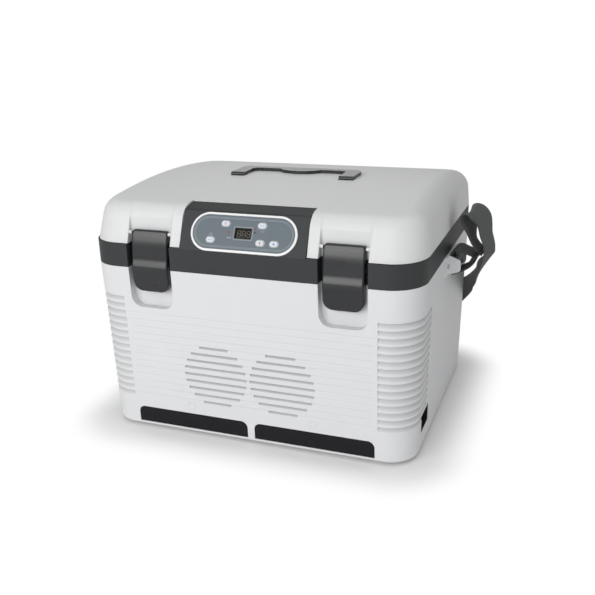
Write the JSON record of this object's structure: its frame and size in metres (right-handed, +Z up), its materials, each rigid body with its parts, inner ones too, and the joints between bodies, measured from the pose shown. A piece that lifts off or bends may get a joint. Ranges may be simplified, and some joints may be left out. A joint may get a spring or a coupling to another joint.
{
  "type": "platelet storage box",
  "caption": "Portable electrically cooled and warmed storage box with a hinged lid, snap latches, fold-down handle, sloping control panel, fan grilles and shoulder strap.",
  "frame": {"origin": "on the table under the middle of the box", "axes": "+Z up, the front with the control panel looks to -Y, +X to the right seen from the front"},
  "size_m": [0.5474, 0.4201, 0.3263],
  "materials": {
    "shell_white": "fine grained white plastic",
    "lid_white": "fine grained white plastic",
    "frame_grey": "satin dark grey plastic",
    "latch_grey": "semi-gloss dark grey plastic",
    "cover_black": "grained black plastic",
    "bezel_white": "gloss white plastic",
    "membrane": "satin printed film",
    "button_pale": "satin pale plastic",
    "window_dark": "smoked clear plastic",
    "display": "dark digit block",
    "lamp": "tinted clear plastic",
    "liner": "smooth pale grey plastic",
    "foam": "rigid foam, fine cells",
    "gasket": "soft black rubber",
    "rubber": "matt black rubber",
    "fan_black": "satin black plastic",
    "heat_sink": "extruded aluminium",
    "ceramic": "white ceramic",
    "board": "green circuit board",
    "socket_black": "black plastic",
    "steel": "zinc plated steel",
    "webbing": "woven webbing",
    "slider_black": "moulded black plastic",
    "handle_grey": "semi-gloss dark grey plastic"
  },
  "bodies": {
    "root": {"body_shell": "shell_white", "base_plate": "cover_black", "rubber_feet": "rubber", "lower_cover_left": "cover_black", "lower_cover_right": "cover_black", "screw_plugs": "shell_white", "top_frame": "frame_grey", "display_bezel": "bezel_white", "membrane_panel": "membrane", "display_window": "window_dark", "display_module": "display", "indicator_lamps": "lamp", "control_board": "board", "inner_liner": "liner", "insulation_foam": "foam", "fan_frame_left": "fan_black", "fan_frame_right": "fan_black", "fan_screws": "steel", "heat_sink_left": "heat_sink", "heat_sink_right": "heat_sink", "peltier_modules": "ceramic", "transfer_blocks": "heat_sink", "cold_sink": "heat_sink", "inner_fan_frame": "fan_black", "cold_guard": "liner", "power_supply": "board", "power_inlet": "socket_black", "base_screws": "steel", "strap_lug_left": "shell_white", "strap_lug_right": "shell_white", "lug_screws": "steel", "hinge_pins": "steel", "strap_loop_left": "webbing", "strap_loop_right": "webbing", "tri_glide_left": "slider_black", "tri_glide_right": "slider_black", "shoulder_strap": "webbing"},
    "lid": {"lid_shell": "lid_white", "lid_liner": "liner", "lid_foam": "foam", "lid_gasket": "gasket", "lid_screws": "steel", "handle_pins": "steel", "latch_pins": "steel"},
    "carry_handle": {"carry_handle": "handle_grey"},
    "latch_left": {"latch_left": "latch_grey"},
    "latch_right": {"latch_right": "latch_grey"},
    "fan_rotor_left": {"fan_rotor_left": "fan_black"},
    "fan_rotor_right": {"fan_rotor_right": "fan_black"},
    "inner_fan_rotor": {"inner_fan_rotor": "fan_black"},
    "power_button": {"power_button": "button_pale"},
    "mode_button": {"mode_button": "button_pale"},
    "set_button": {"set_button": "button_pale"},
    "down_button": {"down_button": "button_pale"},
    "up_button": {"up_button": "button_pale"}
  },
  "joints": [
    {"name": "lid_hinge", "type": "hinge", "parent": "root", "child": "lid", "pos_m": [0, 0.1866, 0.262], "axis": [-1, 0, 0], "range_deg": [0, 100]},
    {"name": "handle_pivot", "type": "hinge", "parent": "lid", "child": "carry_handle", "pos_m": [0, -0.0106, 0.3185], "axis": [1, 0, 0], "range_deg": [0, 90]},
    {"name": "latch_left_pivot", "type": "hinge", "parent": "lid", "child": "latch_left", "pos_m": [-0.128, -0.1811, 0.276], "axis": [-1, 0, 0], "range_deg": [0, 70]},
    {"name": "latch_right_pivot", "type": "hinge", "parent": "lid", "child": "latch_right", "pos_m": [0.128, -0.1811, 0.276], "axis": [-1, 0, 0], "range_deg": [0, 70]},
    {"name": "power_button_travel", "type": "slide", "parent": "root", "child": "power_button", "axis": [0, 0.8829, -0.4695], "range_m": [0, 0.0008], "stiffness_N_per_m": 300},
    {"name": "mode_button_travel", "type": "slide", "parent": "root", "child": "mode_button", "axis": [0, 0.8829, -0.4695], "range_m": [0, 0.0008], "stiffness_N_per_m": 300},
    {"name": "set_button_travel", "type": "slide", "parent": "root", "child": "set_button", "axis": [0, 0.8829, -0.4695], "range_m": [0, 0.0008], "stiffness_N_per_m": 300},
    {"name": "down_button_travel", "type": "slide", "parent": "root", "child": "down_button", "axis": [0, 0.8829, -0.4695], "range_m": [0, 0.0008], "stiffness_N_per_m": 300},
    {"name": "up_button_travel", "type": "slide", "parent": "root", "child": "up_button", "axis": [0, 0.8829, -0.4695], "range_m": [0, 0.0008], "stiffness_N_per_m": 300},
    {"name": "fan_rotor_left_spin", "type": "hinge", "parent": "root", "child": "fan_rotor_left", "pos_m": [-0.046, -0.1666, 0.0913], "axis": [0, 1, 0], "continuous": true},
    {"name": "fan_rotor_right_spin", "type": "hinge", "parent": "root", "child": "fan_rotor_right", "pos_m": [0.046, -0.1666, 0.0913], "axis": [0, 1, 0], "continuous": true},
    {"name": "inner_fan_rotor_spin", "type": "hinge", "parent": "root", "child": "inner_fan_rotor", "pos_m": [0, -0.0516, 0.0913], "axis": [0, 1, 0], "continuous": true}
  ]
}
